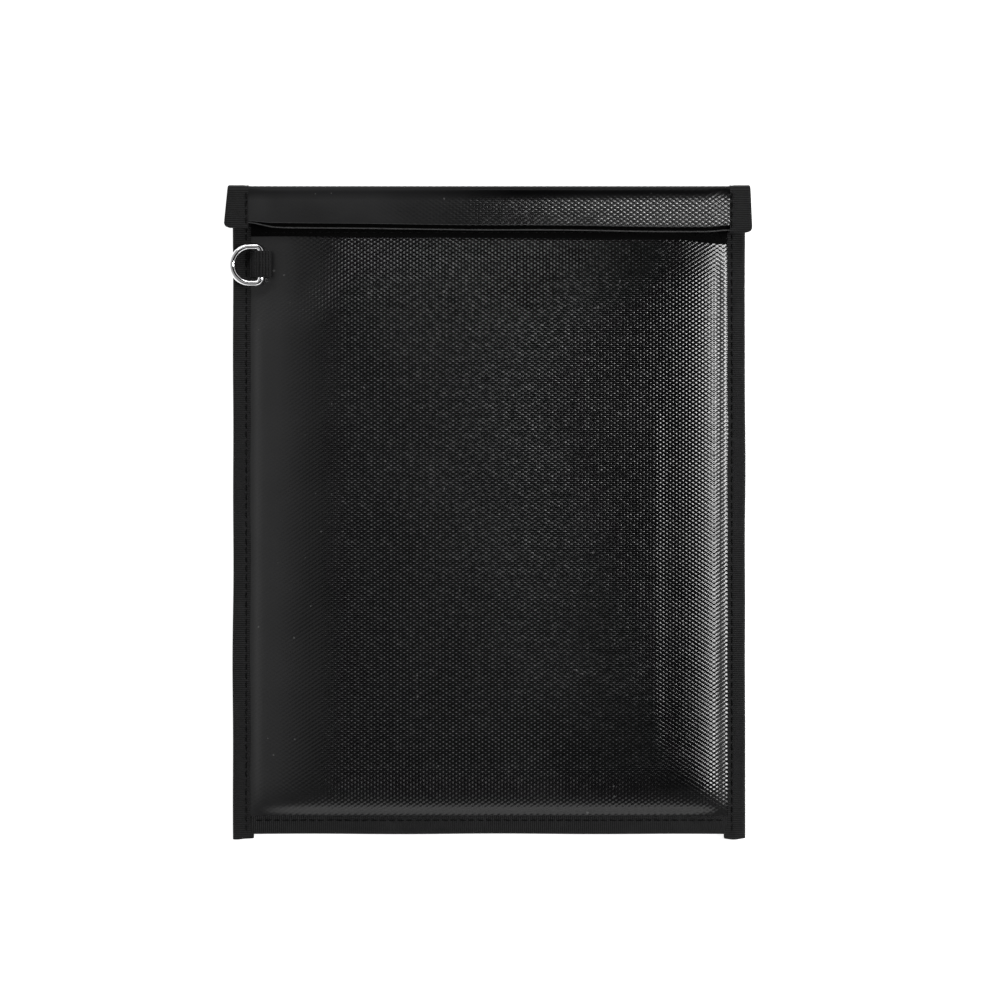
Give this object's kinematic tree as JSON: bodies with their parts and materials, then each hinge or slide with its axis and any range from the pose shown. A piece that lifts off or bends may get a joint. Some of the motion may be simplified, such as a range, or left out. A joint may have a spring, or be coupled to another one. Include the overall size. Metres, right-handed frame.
{
  "type": "lipo safe bag",
  "caption": "Flat rectangular fire-resistant pouch with tape-bound edges, a hook-and-loop fold-over flap and a D-ring on a webbing tab.",
  "frame": {"origin": "middle of the bottom face of the bounding box of the pouch lying on its back with the flap shut", "axes": "+Y along the pouch's height towards the flap, +Z out of its front, +X to the right of someone who faces the front"},
  "size_m": [0.2363, 0.293, 0.0134],
  "materials": {
    "coated_cloth": "silicone-coated black woven glass cloth, satin",
    "lining_cloth": "woven glass cloth, dark grey, matte",
    "binding_tape": "ribbed black tape, matte",
    "webbing": "black woven webbing, matte",
    "thread": "black sewing thread, slight sheen",
    "loop_pile": "black loop pile, matte",
    "hook_tape": "black moulded hooks",
    "ring_steel": "polished nickel-plated steel wire"
  },
  "bodies": {
    "pocket": {"back_panel": "coated_cloth", "front_panel": "coated_cloth", "back_liner": "lining_cloth", "front_liner": "lining_cloth", "left_binding": "binding_tape", "right_binding": "binding_tape", "bottom_binding": "binding_tape", "left_seam_thread": "thread", "right_seam_thread": "thread", "bottom_seam_thread": "thread", "loop_strip": "loop_pile", "loop_strip_lower_thread": "thread", "loop_strip_upper_thread": "thread", "mouth_seam_thread": "thread", "ring_tab": "webbing"},
    "spine": {"spine_panel": "coated_cloth", "spine_lining": "lining_cloth", "spine_left_binding": "binding_tape", "spine_right_binding": "binding_tape"},
    "flap": {"flap_panel": "coated_cloth", "flap_lining": "lining_cloth", "hook_strip": "hook_tape", "flap_left_binding": "binding_tape", "flap_right_binding": "binding_tape", "flap_left_thread": "thread", "flap_right_thread": "thread"},
    "ring": {"d_ring": "ring_steel"}
  },
  "joints": [
    {"name": "lower_crease", "type": "hinge", "parent": "pocket", "child": "spine", "pos_m": [0, 0.1455, 0.001], "axis": [-1, 0, 0], "range_deg": [0, 90]},
    {"name": "upper_crease", "type": "hinge", "parent": "spine", "child": "flap", "pos_m": [0, 0.1455, 0.0115], "axis": [-1, 0, 0], "range_deg": [0, 90]},
    {"name": "ring_swivel", "type": "hinge", "parent": "pocket", "child": "ring", "pos_m": [-0.1022, 0.11075, 0.00762], "axis": [0, 1, 0], "range_deg": [0, 160]}
  ],
  "couplings": [
    {"joint": "upper_crease", "follows": "lower_crease", "ratio": 1}
  ]
}
